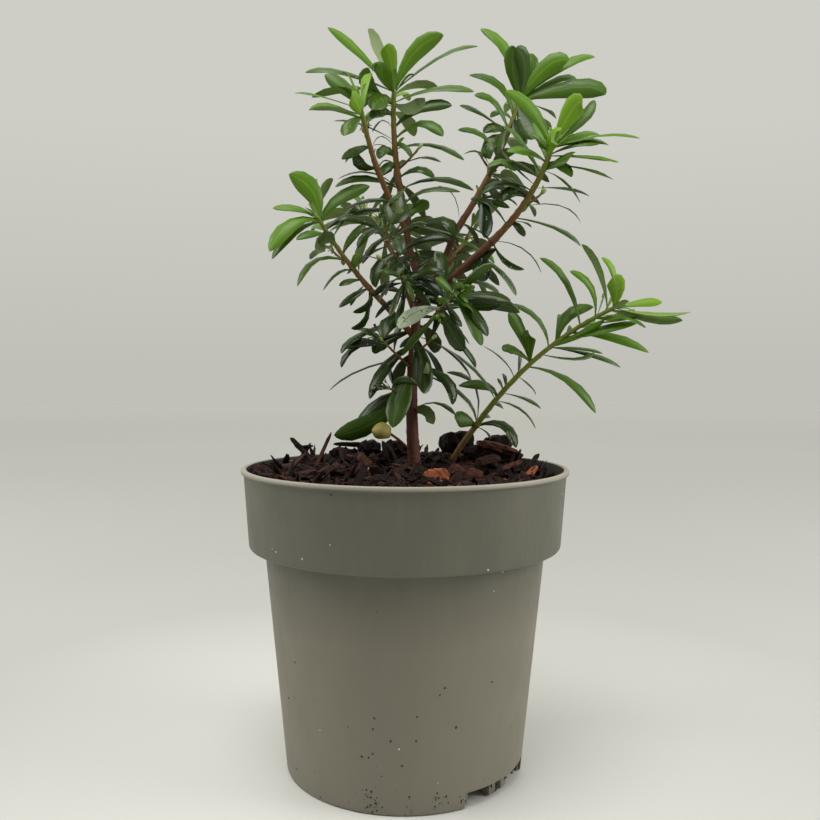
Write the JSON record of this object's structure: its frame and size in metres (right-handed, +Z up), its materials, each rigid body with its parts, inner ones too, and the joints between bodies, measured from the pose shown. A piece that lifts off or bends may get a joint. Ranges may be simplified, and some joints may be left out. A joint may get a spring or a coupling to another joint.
{
  "type": "potted evergreen shrub",
  "caption": "Young evergreen shrub with slim dark leaves on a short trunk and ascending boughs, in a round collared nursery pot filled with bark mix.",
  "frame": {"origin": "middle of the pot's flat underside", "axes": "+Z up along the pot's axis, +X to the right and -Y towards the viewer as pictured"},
  "size_m": [0.1694, 0.1488, 0.2954],
  "materials": {
    "pot_plastic": "matte taupe-grey moulded plastic, mottled by use",
    "bark_mix": "damp dark brown bark chips and fine mix",
    "bark": "dark red-brown bark, greener towards the tips",
    "foliage": "satin leaves, bright green at the tips and dark green lower down"
  },
  "bodies": {
    "root": {"pot": "pot_plastic", "potting_mix": "bark_mix", "trunk": "bark", "bough_left_leader": "bark", "bough_left_side": "bark", "bough_centre_leader": "bark", "bough_right_leader": "bark", "bough_left_low": "bark", "bough_right_basal": "bark", "bough_back_left": "bark", "bough_back_right": "bark", "foliage_left_side": "foliage", "foliage_trunk_left": "foliage", "foliage_trunk_right": "foliage", "foliage_trunk_low": "foliage", "foliage_left_leader": "foliage", "foliage_centre_leader": "foliage", "foliage_right_leader": "foliage", "foliage_left_low": "foliage", "foliage_right_basal": "foliage", "foliage_heart_left": "foliage", "foliage_heart_right": "foliage", "foliage_back_left": "foliage", "foliage_back_right": "foliage"}
  },
  "joints": []
}
